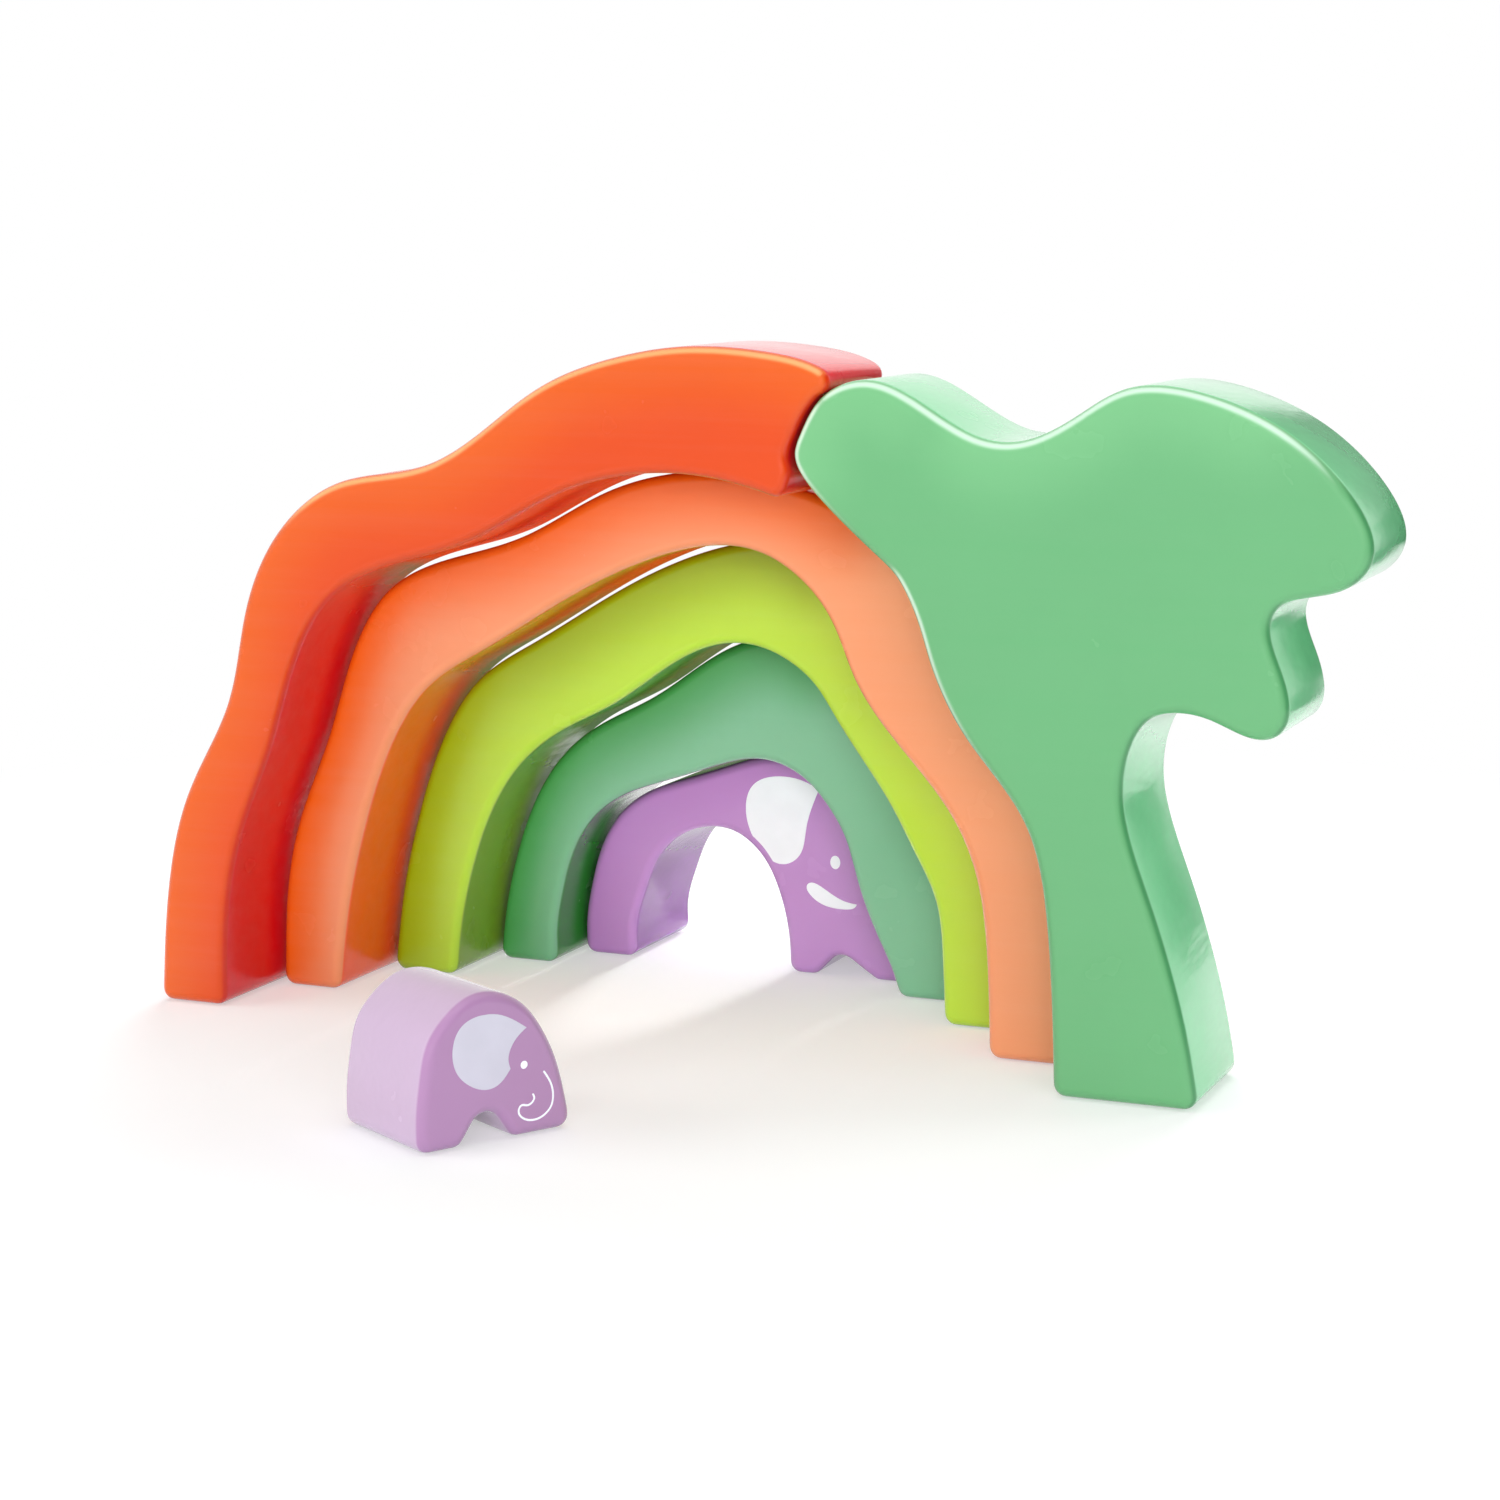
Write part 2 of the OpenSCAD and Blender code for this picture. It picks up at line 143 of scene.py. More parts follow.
# Cards for reflections: name, corner, two sides, level, tint, and whether the back is clear
WHITE, LEAFY, WARM = (1, 1, 1), (0.16, 0.25, 0.12), (0.8, 0.09, 0.01)
CARDS = (
    ("baby_card", (-0.3, -0.026, 0.0), (0.26, 0.0, 0.0), (0.0, 0.0, 0.2), 1.0, WHITE, True),
    ("high_card", (-0.7, -0.75, 1.1), (1.5, 0.0, 0.0), (0.0, 0.3, 0.09), 1.5, WHITE, False),
    ("front_flag", (0.28, -0.7, 0.0), (0.3, 0.3, 0.0), (0.0, 0.0, 0.3), 0.1, WHITE, False),
    ("slit_flag", (-0.30, 0.16, 0.03), (0.27, 0.0, 0.0), (0.0, 0.0, 0.048), 1.0, LEAFY, False),
    ("warm_flag", (-0.30, 0.16, 0.078), (0.27, 0.0, 0.0), (0.0, 0.0, 0.072), 1.0, WARM, False),
    ("den_flag", (-0.2, 0.12, 0.002), (0.2, 0.0, 0.0), (0.0, 0.3, 0.0), 0.85, WHITE, False),
    ("crown_flag", (-0.015, 0.42, 0.19), (0.175, 0.0, 0.0), (0.0, 0.0, 0.4), 0.2, WHITE, False),
    ("notch_flag", (0.0, 0.42, 0.078), (0.18, 0.0, 0.0), (0.0, 0.0, 0.112), 0.0, WHITE, False),
    ("trunk_flag", (0.1, 0.42, 0.012), (0.1, 0.0, 0.0), (0.0, 0.0, 0.066), 0.0, WHITE, False),
    ("right_flag", (0.5, -0.5, 0.02), (0.0, 0.9, 0.0), (0.0, 0.0, 0.6), 0.1, WHITE, False),
)

# Width of the camera's sensor in millimetres
SENSOR_WIDTH = 36

# Sockets of a mix node that carry its factor, its two colours and the mixed colour
MIX_FACTOR, MIX_A, MIX_B, MIX_RESULT = 0, 6, 7, 2


def rgb(red, green, blue):
    """A paint chip, read as display values from 0 to 255, in linear light."""
    chip = np.array([red, green, blue]) / 255
    linear = np.where(chip <= 0.04045, chip / 12.92, ((chip + 0.055) / 1.055) ** 2.4)
    return tuple(float(v) for v in linear)


def colour(label, words, chip):
    """A colour property with a name, a description and its default."""
    return bpy.props.FloatVectorProperty(
        name=label, description=words, subtype="COLOR", size=3, min=0, max=1, default=rgb(*chip)
    )


def length(label, words, default):
    """A length property in metres."""
    return bpy.props.FloatProperty(
        name=label, description=words, unit="LENGTH", subtype="DISTANCE", precision=5,
        default=default,
    )


def angle(label, words, degrees):
    """An angle property, given in degrees."""
    return bpy.props.FloatProperty(
        name=label, description=words, subtype="ANGLE", default=math.radians(degrees)
    )


def strength(label, words, default):
    """A property for the power of a light or the level of the surround."""
    return bpy.props.FloatProperty(name=label, description=words, default=default, min=0)


class BlockSizes(bpy.types.PropertyGroup):
    """Fineness of the blocks' surfaces and the thickness of their prints."""

    line_step: length("Line step", "Distance between two points of a block's outline", 0.0009)
    print_step: length("Print step", "Distance between two points of a print's outline", 0.00012)
    print_height: length("Print height", "How far the printed paint stands proud", 0.00006)
    print_round: length("Print edge", "Radius of the edge of the printed paint", 0.00003)
    flat_step: length("Flat step", "Distance between two points inside a flat face", 0.004)
    thin_line: length("Thin line", "How much a printed line is narrowed on each side", 0.0002)
    # Width over which the painted light and shade across a front change, from its upper left edge
    light_and_shade_reach: length("Painted_shade", "Width over which the paint of the upper left edge fades", 0.022)
    round_steps: bpy.props.IntProperty(
        name="Round steps", description="Strips across a rounded edge", default=8, min=2, max=24
    )


class BlockColours(bpy.types.PropertyGroup):
    """Paint colours: the upper left of a block's front, the rest of its front and its sawn walls.

    The two front colours paint light and shade across the front: on the inner arches and the
    mother the upper left is a deeper painted shade, cast by the block around them, and the rest a
    paler painted light. The wall colours are painted lighter or darker than the fronts for the
    light and shade that the walls get. The tree and the red arch also have colours for painted
    highlights on their rounded edges and painted shade on the edges that face right.
    """

    # Each block: front and rest colours paint light and shade, the wall colour paints the walls' light and shade,
    # and edge and shade colours are a painted highlight and painted shade
    tree_front: colour("Tree", "Upper left of the tree's front", (112, 179, 122))
    tree_fade: colour("Tree, rest", "Rest of the tree's front", (99, 166, 111))
    tree_edge: colour("Tree edges", "Edges of the tree that face up or left", (214, 242, 220))
    tree_shade: colour("Tree, dark edges", "Edges of the tree that face right", (62, 132, 82))
    tree_wall: colour("Tree walls", "Sawn walls of the tree", (114, 207, 143))
    red_front: colour("Red", "Upper left of the red arch's front", (216, 88, 15))
    red_fade: colour("Red, rest", "Rest of the red arch's front", (211, 67, 2))
    red_edge: colour("Red edges", "Edges of the red arch that face up", (250, 178, 112))
    red_shade: colour("Red, dark edges", "Edges of the red arch that face right", (200, 30, 12))
    red_wall: colour("Red walls", "Sawn walls of the red arch", (222, 20, 34))
    orange_front: colour("Orange", "Upper left of the orange arch's front", (226, 95, 13))
    orange_fade: colour("Orange, rest", "Rest of the orange arch's front", (234, 147, 102))
    orange_wall: colour("Orange walls", "Sawn walls of the orange arch", (252, 88, 34))
    lime_front: colour("Lime", "Upper left of the lime arch's front", (143, 170, 5))
    lime_fade: colour("Lime, rest", "Rest of the lime arch's front", (179, 220, 61))
    lime_wall: colour("Lime walls", "Sawn walls of the lime arch", (130, 169, 46))
    green_front: colour("Green", "Upper left of the green arch's front", (66, 151, 76))
    green_fade: colour("Green, rest", "Rest of the green arch's front", (126, 187, 148))
    green_wall: colour("Green walls", "Sawn walls of the green arch", (50, 144, 52))
    mother_front: colour("Mother", "Upper left of the mother's front", (185, 126, 195))
    mother_fade: colour("Mother, rest", "Rest of the mother's front", (191, 141, 201))
    mother_wall: colour("Mother walls", "Sawn walls of the mother", (138, 62, 155))
    baby_front: colour("Baby", "Upper left of the baby's front", (171, 129, 171))
    baby_fade: colour("Baby, rest", "Rest of the baby's front", (172, 131, 172))
    baby_wall: colour("Baby walls", "Sawn walls of the baby", (196, 170, 197))
    white_print: colour("White print", "White printed paint", (247, 249, 255))
    grey_print: colour("Grey print", "Pale grey printed paint", (204, 201, 215))


class StageSettings(bpy.types.PropertyGroup):
    """Camera, floor, surround and lights of the studio."""

    camera_place: bpy.props.FloatVectorProperty(
        name="Camera", description="Place of the camera", subtype="TRANSLATION", size=3,
        default=(0.2057, -0.7476, 0.2102),
    )
    camera_turn: angle("Turn", "Turn of the camera about the vertical", 22.58)
    camera_tilt: angle("Tilt", "Tilt of the camera below the level", 9.40)
    camera_roll: angle("Roll", "Roll of the camera about its line of sight", 0.11)
    camera_lens: bpy.props.FloatProperty(
        name="Lens", description="Focal length in millimetres", default=77.8, min=20, max=200
    )
    floor_reach: length("Floor", "Distance from the middle of the floor to its edge", 6.0)
    sky_level: strength("Surround", "Strength of the white surround", 0.06)
    mirror_level: strength("Mirrored surround", "Strength of the surround in reflections", 1.0)
    over_power: strength("Light above", "Power of the light above", 8.5)
    front_power: strength("Front light", "Power of the light in front", 12.5)
    left_power: strength("Left light", "Power of the light at the left", 7.5)
    right_power: strength("Right light", "Power of the light in front, at the right", 10.5)
    back_power: strength("Back light", "Power of the light behind, at the right", 8.5)
    rear_power: strength("Rear light", "Power of the light behind, at the left", 11.0)
    den_power: strength("Beam", "Power of the beam through the mother's den", 33.0)
    den_spread: angle("Beam spread", "Angle of the beam through the mother's den", 11)


def settings():
    """The three groups of settings of the scene."""
    scene = bpy.context.scene
    return scene.block_sizes, scene.block_colours, scene.block_stage


def board_axes(along):
    """Rows along, depth and up of a board whose length runs in the level direction along."""
    run = np.array(along, float)
    return np.array([run, [-run[1], run[0], 0.0], [0.0, 0.0, 1.0]])


def solid_points(node):
    """Points of a solid and its triangles, with points that lie together taken as one."""
    mesh = frame["nodes"][node].data
    mesh.calc_loop_triangles()
    place = np.empty(len(mesh.vertices) * 3, np.float32)
    mesh.vertices.foreach_get("co", place)
    corner = np.empty(len(mesh.loop_triangles) * 3, np.int32)
    mesh.loop_triangles.foreach_get("vertices", corner)
    points, same = np.unique(place.reshape(-1, 3), axis=0, return_inverse=True)
    return points.astype(float), same.reshape(-1)[corner].reshape(-1, 3)


def solid_outline(node, axes, rounded):
    """Outline of a board, in order and anticlockwise, and its depth levels.

    The outline is the rim of all triangles that lie before one depth: the middle of a board with
    rounded edges, or the front of a flat print. A rim edge is one that no triangle there runs
    along the other way. Its points are put in order by jumping 1, 2, 4, 8 ... edges ahead.
    """
    points, corner = solid_points(node)
    local = points @ axes.T
    depth = np.sort(local[:, 1])
    levels = depth[np.r_[True, np.diff(depth) > SAME_LEVEL]]
    last = levels[len(levels) // 2 - 1] if rounded else levels[0]
    before = (local[corner, 1] < last + SAME_LEVEL).all(1)
    edge = corner[before][:, [[0, 1], [1, 2], [2, 0]]].reshape(-1, 2)
    key = np.array([len(points), 1])
    rim = edge[~np.isin(edge[:, ::-1] @ key, edge @ key)]
    jump = np.zeros(len(points), int)
    jump[rim[:, 0]] = rim[:, 1]
    order = rim[:1, 0]
    while len(order) < len(rim):
        order = np.concatenate([order, jump[order]])
        jump = jump[jump]
    order = order[: len(rim)]
    if len(np.unique(order)) != len(rim):
        raise RuntimeError(f"the outline of {node} isn't one closed line")
    ring = local[order][:, [0, 2]]
    after = np.roll(ring, -1, 0)
    area = (ring[:, 0] * after[:, 1] - ring[:, 1] * after[:, 0]).sum()
    return (ring if area > 0 else ring[::-1]), levels


def even_ring(knots, step):
    """Smooth closed line through the knots, with even steps.

    Each span is a cubic whose slope at a knot runs from the knot before to the knot after, in
    terms of the distance along the line; at a sharp corner the slope is zero, so the corner
    stays. The spans are drawn finely and the line is then divided by its own length.
    """
    ahead = np.roll(knots, -1, 0)
    behind = np.roll(knots, 1, 0)
    span = np.linalg.norm(ahead - knots, axis=1)
    slope = (ahead - behind) / (span + np.roll(span, 1))[:, None]
    out, back = ahead - knots, knots - behind
    turn = np.arctan2(back[:, 0] * out[:, 1] - back[:, 1] * out[:, 0], (back * out).sum(1))
    slope = np.where(np.abs(turn)[:, None] > SHARP_TURN, 0.0, slope)
    t = np.linspace(0, 1, LINE_PARTS, endpoint=False)[None, :, None]
    a, b = knots[:, None], ahead[:, None]
    va = (slope * span[:, None])[:, None]
    vb = (np.roll(slope, -1, 0) * span[:, None])[:, None]
    line = (
        a * (2 * t**3 - 3 * t**2 + 1)
        + b * (3 * t**2 - 2 * t**3)
        + va * (t**3 - 2 * t**2 + t)
        + vb * (t**3 - t**2)
    ).reshape(-1, 2)
    closed = np.vstack([line, line[:1]])
    far = np.concatenate([[0], np.cumsum(np.linalg.norm(np.diff(closed, axis=0), axis=1))])
    even = np.linspace(0, far[-1], max(FEWEST_POINTS, int(far[-1] / step)), endpoint=False)
    ring = np.stack([np.interp(even, far, closed[:, k]) for k in (0, 1)], 1)
    return np.clip(ring, knots.min(0), knots.max(0))


def outward(ring):
    """Unit normals of a closed line that runs anticlockwise."""
    run = np.roll(ring, -1, 0) - np.roll(ring, 1, 0)
    run /= np.linalg.norm(run, axis=1)[:, None]
    return np.stack([run[:, 1], -run[:, 0]], 1)


def rounded_profile(fore, aft, radius, steps):
    """Inset, depth and wall share of a board's edge from the front flat to the back flat.

    A flat strip leads to a quarter circle of the given radius, the wall, a second quarter circle
    and the strip at the back. The wall share is 0 on the flats and 1 on the wall.
    """
    w = np.linspace(0, math.pi / 2, steps + 1)
    inset = np.concatenate([[radius + FLAT_STRIP * radius], radius * (1 - np.sin(w))])
    depth = np.concatenate([[0.0], radius * (1 - np.cos(w))])
    share = np.concatenate([[0.0], np.sin(w) ** 2])
    return (
        np.concatenate([inset, inset[::-1]]),
        np.concatenate([fore + depth, aft - depth[::-1]]),
        np.concatenate([share, share[::-1]]),
    )


def flat_points(rim, step):
    """Even points inside a closed line, and triangles between the line and these points.

    A grid point is kept if a level ray from it crosses the line an odd number of times and if it
    is clear of the line. The triangles number the line's points first.
    """
    columns, rows = (np.arange(a, b, step) for a, b in zip(rim.min(0), rim.max(0)))
    grid = np.stack(np.meshgrid(columns, rows), -1).reshape(-1, 2)
    ahead = np.roll(rim, -1, 0)
    x, z = grid[:, :1], grid[:, 1:]
    crossed = (rim[:, 1] > z) != (ahead[:, 1] > z)
    climb = np.where(ahead[:, 1] == rim[:, 1], 1.0, ahead[:, 1] - rim[:, 1])
    at = rim[:, 0] + (z - rim[:, 1]) * (ahead[:, 0] - rim[:, 0]) / climb
    inside = (crossed & (x < at)).sum(1) % 2 == 1
    clear = np.hypot(x - rim[:, 0], z - rim[:, 1]).min(1) > CLEAR_OF_RIM * step
    points = np.vstack([rim, grid[inside & clear]])
    border = [np.arange(len(rim)).tolist()]
    made = delaunay_2d_cdt(points.tolist(), [], border, TRIANGLES_INSIDE, SAME_POINT)
    if len(made[0]) != len(points):
        raise RuntimeError("the line round a flat face crosses itself")
    return points[len(rim):], np.array(made[2])


def light_and_shade_share(points, ring, reach):
    """Share of the second paint at points of a board, 0 at its upper left edge and 1 away from it.

    The edge is made of the outline points that no other outline point rises above just to their
    left. The share grows smoothly with the distance from the nearest of them. The two paints that it mixes are
    painted light and shade, such as the shadow that the block around it casts on the front.
    """
    aside = np.abs(ring[:, 0] - (ring[:, :1] - LOOK_LEFT)) < LOOK_SLACK
    lid = np.where(aside, ring[:, 1], BELOW_ALL).max(1)
    edge = ring[ring[:, 1] > lid - LOOK_SLACK]
    gap = np.hypot(points[:, :1] - edge[:, 0], points[:, 1:] - edge[:, 1]).min(1)
    t = np.clip(gap / reach, 0, 1)
    return t * t * (3 - 2 * t)


def rise(values, start, width):
    """0 up to the start, 1 from the start plus the width on, and a straight line between."""
    return np.clip((values - start) / width, 0, 1)


def smooth_bell(values, middle, width):
    """A bell that is 1 at the middle and falls off over the width."""
    return np.exp(-(((values - middle) / width) ** 2))


def painted_edge_light(ring, share, ways):
    """Painted highlight and painted shade of a board's rounded edges, from -1 for painted shade to 1 for a painted
    highlight.

    Across an edge each is a bell over the angle by which the surface has turned from the
    flat to the wall. Along the outline, edges that face one of the given ways get the painted
    highlight, on the upper part of the board only, and edges that face right get painted shade.
    """
    turned = np.arcsin(np.sqrt(share))
    facing = outward(ring)
    toward = np.max([facing @ np.array(way) for way in ways], axis=0)
    height = ring[:, 1] / ring[:, 1].max()
    # Painted highlight where an edge faces the given ways, painted shade where it faces right
    pale = rise(toward, *HIGHLIGHT_FACING) * rise(height, *HIGHLIGHT_HEIGHT)
    dark = rise(facing[:, 0], *EDGE_SHADE_FACING) * rise(-facing[:, 1], *EDGE_SHADE_BELOW)
    light_line = np.outer(smooth_bell(turned, *HIGHLIGHT_LINE), pale)
    return light_line - np.outer(smooth_bell(turned, *EDGE_SHADE_LINE), dark)


def linked(name, points, faces, shares):
    """A smooth mesh object with one number per point for each named share."""
    mesh = bpy.data.meshes.new(name)
    mesh.from_pydata(points.tolist(), [], faces)
    for label, values in shares.items():
        layer = mesh.attributes.new(label, "FLOAT", "POINT")
        layer.data.foreach_set("value", values.astype(np.float32))
    mesh.shade_smooth()
    mesh.update()
    piece = bpy.data.objects.new(name, mesh)
    bpy.context.scene.collection.objects.link(piece)
    return piece


def carried(ring, profile, lowest):
    """A profile carried round an outline: points, their numbers and the quads between them.

    Point (k, i) is outline point i moved inwards by the profile's inset k, at the profile's depth
    k, and not below the lowest level.
    """
    inset, depth, _ = profile
    flat = ring[None] - inset[:, None, None] * outward(ring)[None]
    flat[..., 1] = np.maximum(flat[..., 1], lowest)
    rows, count = flat.shape[:2]
    deep = np.broadcast_to(depth[:, None], (rows, count))
    local = np.stack([flat[..., 0], deep, flat[..., 1]], 2)
    index = np.arange(rows * count).reshape(rows, count)
    beside = np.roll(index, -1, 1)
    quads = np.stack([index[:-1], index[1:], beside[1:], beside[:-1]], 2).reshape(-1, 4)
    return local.reshape(-1, 3), index, quads.tolist()


def film(name, ring, fore, aft, radius, axes):
    """A thin film with rounded edges, closed by two flat faces."""
    profile = rounded_profile(fore, aft, radius, FILM_STEPS)
    points, index, quads = carried(ring, profile, ring[:, 1].min())
    flats = [index[0].tolist(), index[-1][::-1].tolist()]
    return linked(name, points @ axes, quads + flats, {})


def board(name, ring, fore, aft, radius, axes, ways):
    """A board: its rounded profile carried round its outline, closed by two flats of triangles.

    Its points know their share of the wall, of the second paint, which paints light and shade across the front,
    and of the edges' painted highlight and shade.
    """
    sizes = settings()[0]
    profile = rounded_profile(fore, aft, radius, sizes.round_steps)
    points, index, quads = carried(ring, profile, lowest=0.0)
    count = ring.shape[0]
    inner, triangles = flat_points(points[:count][:, [0, 2]], sizes.flat_step)
    front = np.concatenate([index[0], len(points) + np.arange(len(inner))])
    back = np.concatenate([index[-1], len(points) + len(inner) + np.arange(len(inner))])
    sides = [np.insert(inner, 1, depth, 1) for depth in (fore, aft)]
    points = np.vstack([points, *sides])
    faces = quads + front[triangles].tolist() + back[triangles[:, ::-1]].tolist()
    on_flats = np.zeros(2 * len(inner))
    wall = np.concatenate([np.repeat(profile[2], count), on_flats])
    # Painted light and shade across the front, and painted highlight and painted shade on the edges
    pale = light_and_shade_share(points[:, [0, 2]], ring, sizes.light_and_shade_reach)
    edge = np.concatenate([painted_edge_light(ring, profile[2], ways).reshape(-1), on_flats])
    return linked(name, points @ axes, faces, {"wall": wall, "pale": pale, "edge": edge})


class Nodes:
    """Small helper that adds shader nodes and links to one material."""

    def __init__(self, name):
        self.material = bpy.data.materials.new(name)
        self.material.use_nodes = True
        self.tree = self.material.node_tree
        self.tree.nodes.clear()

    def give(self, node, key, value):
        """Gives an input of a node a value, or a link if the value is a socket."""
        if isinstance(value, bpy.types.NodeSocket):
            self.tree.links.new(value, node.inputs[key])
        else:
            node.inputs[key].default_value = value

    def add(self, kind, links=(), **values):
        """A node of a kind; links are (input, socket) pairs, values are inputs or properties."""
        node = self.tree.nodes.new(kind)
        for key, value in values.items():
            if hasattr(node, key):
                setattr(node, key, value)
            else:
                self.give(node, key.replace("_", " "), value)
        for key, socket in links:
            self.give(node, key, socket)
        return node

    def finish(self, face):
        """The material, with the shader face as its surface."""
        self.add("ShaderNodeOutputMaterial", [("Surface", face.outputs[0])])
        return self.material

    def share(self, name):
        """The numbers that a mesh keeps under a name, one per point."""
        return self.add("ShaderNodeAttribute", attribute_name=name).outputs["Fac"]

    def mix(self, factor, a, b):
        """Colour a turned into b by the socket factor; a and b are sockets or colours."""
        node = self.add("ShaderNodeMix", [(MIX_FACTOR, factor)], data_type="RGBA")
        for key, value in ((MIX_A, a), (MIX_B, b)):
            is_socket = isinstance(value, bpy.types.NodeSocket)
            self.give(node, key, value if is_socket else (*value, 1))
        return node.outputs[MIX_RESULT]

    def ramp(self, value, low, high, to_low=0.0, to_high=1.0, kind="SMOOTHSTEP"):
        """A number mapped from the range low-high to the range to_low-to_high."""
        ends = {"From_Min": low, "From_Max": high, "To_Min": to_low, "To_Max": to_high}
        node = self.add("ShaderNodeMapRange", interpolation_type=kind, Value=value, **ends)
        return node.outputs["Result"]

    def noise(self, where, waves=1.0, detail=3.0, roughness=0.5):
        """Noise at the place where, with so many waves per metre."""
        values = {"Vector": where, "Scale": waves, "Detail": detail, "Roughness": roughness}
        return self.add("ShaderNodeTexNoise", **values).outputs["Fac"]

    def stretch(self, where, scale):
        """Place where scaled by different amounts along the axes."""
        return self.add("ShaderNodeMapping", Vector=where, Scale=scale).outputs["Vector"]

    def bump(self, pattern, height, strength, **under):
        """Normals of a pattern in relief, also on top of other normals; all may be sockets."""
        values = {"Height": pattern, "Distance": height, "Strength": strength, **under}
        return self.add("ShaderNodeBump", **values).outputs["Normal"]


def painted_wood(name, front, fade, wall, edges=None):
    """Glossy lacquer sprayed on wood.

    The front has one colour along the block's upper left edge and fades to another away from it,
    which paints its light and shade, and the sawn walls have colours of their own, painted lighter
    or darker for the light and shade they get. Where edge colours are given, the rounded edges are
    painted pale, a painted highlight where the studio light would catch them, and painted dark, a
    painted shade where they turn away from it. Under the lacquer the flats show a trace of grain
    along the board, and the walls the ripples of the saw, which run across the board's edge and
    break up its reflections.
    """
    n = Nodes(name)
    place = n.add("ShaderNodeTexCoord").outputs["Object"]
    share = n.share("wall")
    # The front's two colours paint its light and shade, deeper where the block around it shades it
    paint = n.mix(n.share("pale"), front, fade)
    # The wall colour paints the walls' light and shade, lighter or darker than the front
    paint = n.mix(n.ramp(share, WALL_START, 1.0), paint, wall)
    # Painted highlights and painted shade on the rounded edges
    if edges is not None:
        edge_highlight_and_shade = n.share("edge")
        paint = n.mix(n.ramp(edge_highlight_and_shade, EDGE_START, 1.0, 0.0, EDGE_COVER), paint, edges[0])
        paint = n.mix(n.ramp(edge_highlight_and_shade, -1.0, -EDGE_START, EDGE_COVER, 0.0), paint, edges[1])
    grain = n.noise(n.stretch(place, GRAIN_WAVES), detail=4, roughness=0.6)
    cloud = n.noise(place, CLOUD_WAVES)
    tone = n.add(
        "ShaderNodeHueSaturation", Color=paint,
        Value=n.ramp(cloud, *NOISE_RANGE, *CLOUD_TONES, "LINEAR"),
        Saturation=n.ramp(grain, *NOISE_RANGE, *GRAIN_TONES, "LINEAR"),
    )
    ripple = n.noise(n.stretch(place, RIPPLE_WAVES), roughness=0.6)
    on_wall = n.ramp(share, RIPPLE_START, 1.0, 0.0, RIPPLE_STRENGTH)
    relief = n.bump(grain, GRAIN_HEIGHT, GRAIN_STRENGTH)
    relief = n.bump(ripple, RIPPLE_HEIGHT, on_wall, Normal=relief)
    gloss = n.ramp(n.noise(place, GLOSS_WAVES), *NOISE_RANGE, *ROUGHNESS, "LINEAR")
    skin = n.add(
        "ShaderNodeBsdfPrincipled", Base_Color=tone.outputs["Color"], Roughness=gloss,
        Normal=relief, Coat_Normal=relief, Specular_IOR_Level=0.25,
        Coat_Weight=1.0, Coat_IOR=1.33, Coat_Roughness=0.18,
    )
    return n.finish(skin)


def printed_paint(name, chip):
    """Screen-printed paint: an opaque, slightly uneven film."""
    n = Nodes(name)
    place = n.add("ShaderNodeTexCoord").outputs["Object"]
    cloud = n.ramp(n.noise(place, PRINT_CLOUDS), *NOISE_RANGE)
    paint = n.mix(cloud, chip, tuple(PRINT_DULL * v for v in chip))
    marks = n.bump(n.noise(place, PRINT_MARKS, detail=1), MARK_HEIGHT, MARK_STRENGTH)
    skin = n.add("ShaderNodeBsdfPrincipled", Base_Color=paint, Normal=marks, Roughness=0.42)
    return n.finish(skin)


def body_of(node):
    """Name of the body that a solid belongs to."""
    bodies = frame["record"]["behaviour"]["bodies"]
    return next(body for body, members in bodies.items() if node in members)


def dress(piece, node, material):
    """The piece takes the place of a solid, moves with its body and wears a material."""
    piece.data.materials.append(material)
    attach(piece, body_of(node))
    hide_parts(node)


def level_run():
    """Axes of the boards that stand along X."""
    return board_axes((1, 0, 0))


def baby_run():
    """Axes of the baby, whose length is the direction in which it slides."""
    slide = next(j for j in frame["joints"] if j["child"] == "baby")
    return board_axes(Vector(slide["axis"]).normalized())


def paint_block(node, paints, axes):
    """A wooden block on the outline of its solid, with the solid's own edge radius."""
    sizes, colours, _ = settings()

    def chips(*parts):
        """The block's colours for some of its parts."""
        return [getattr(colours, f"{paints}_{part}") for part in parts]

    knots, levels = solid_outline(node, axes, rounded=True)
    radius = levels[len(levels) // 2 - 1] - levels[0]
    ring = even_ring(knots, sizes.line_step)
    # Ways that the painted edge highlights face; the edge and shade colours paint highlight and shade
    ways = HIGHLIGHT_WAYS.get(paints, (UPWARDS,))
    piece = board(f"{node}_block", ring, levels[0], levels[-1], radius, axes, ways)
    edges = chips("edge", "shade") if paints in HIGHLIGHT_WAYS else None
    wood = painted_wood(f"{paints}_paint", *chips("front", "fade", "wall"), edges)
    dress(piece, node, wood)


def paint_print(node, chip_name, axes, inset=0.0):
    """A print on a front face, as thin as paint, on the outline of its solid or inset from it."""
    sizes, colours, _ = settings()
    knots, levels = solid_outline(node, axes, rounded=False)
    ring = even_ring(knots, sizes.print_step)
    ring = ring - inset * outward(ring)
    fore = levels[-1] - sizes.print_height
    piece = film(f"{node}_film", ring, fore, levels[-1], sizes.print_round, axes)
    dress(piece, node, printed_paint(f"{node}_paint", getattr(colours, chip_name)))


class BLOCKS_OT_tree(bpy.types.Operator):
    """Makes the tree"""

    bl_idname = "blocks.tree"
    bl_label = "Tree"

    def execute(self, context):
        paint_block("tree", "tree", level_run())
        return {"FINISHED"}


class BLOCKS_OT_arches(bpy.types.Operator):
    """Makes the red, orange, lime and green arches"""

    bl_idname = "blocks.arches"
    bl_label = "Arches"

    def execute(self, context):
        for paints in ("red", "orange", "lime", "green"):
            paint_block(f"{paints}_arch", paints, level_run())
        return {"FINISHED"}


